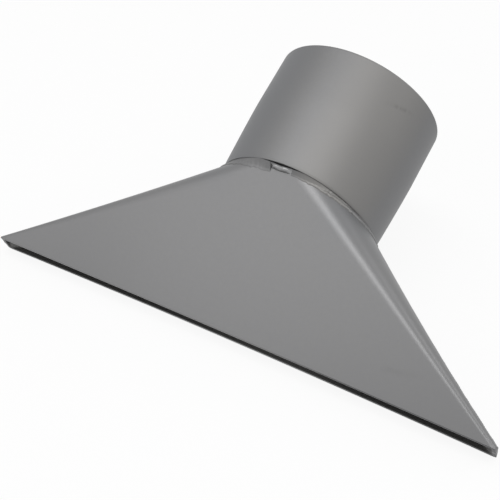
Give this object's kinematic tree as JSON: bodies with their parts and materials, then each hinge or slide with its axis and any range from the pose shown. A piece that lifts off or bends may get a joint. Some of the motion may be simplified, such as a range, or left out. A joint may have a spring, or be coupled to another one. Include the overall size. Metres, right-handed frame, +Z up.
{
  "type": "slot suction nozzle",
  "caption": "Welded sheet-metal suction nozzle: a round tube socket on a flattened triangular hood that widens into a long narrow slot, shown lying on its rear panel.",
  "frame": {"origin": "centre of the bounding box's bottom face, on the surface that the nozzle lies on", "axes": "+Z up, +X along the mouth slot, mouth towards -Y, tube socket rising towards +Y at 25.7 degrees above the surface"},
  "size_m": [0.2338, 0.1292, 0.0922],
  "materials": {
    "socket_steel": "satin, fine bead-blasted, warm grey sheen",
    "hood_steel": "satin, fine bead-blasted, soft highlights along the bends",
    "weld_metal": "weld bead, slightly rippled and brighter than the sheet"
  },
  "bodies": {
    "root": {"tube_socket": "socket_steel", "front_shell": "hood_steel", "rear_shell": "hood_steel", "left_seam_weld": "weld_metal", "right_seam_weld": "weld_metal", "left_collar_weld": "weld_metal", "right_collar_weld": "weld_metal", "front_fill_weld": "weld_metal", "rear_fill_weld": "weld_metal"}
  },
  "joints": []
}
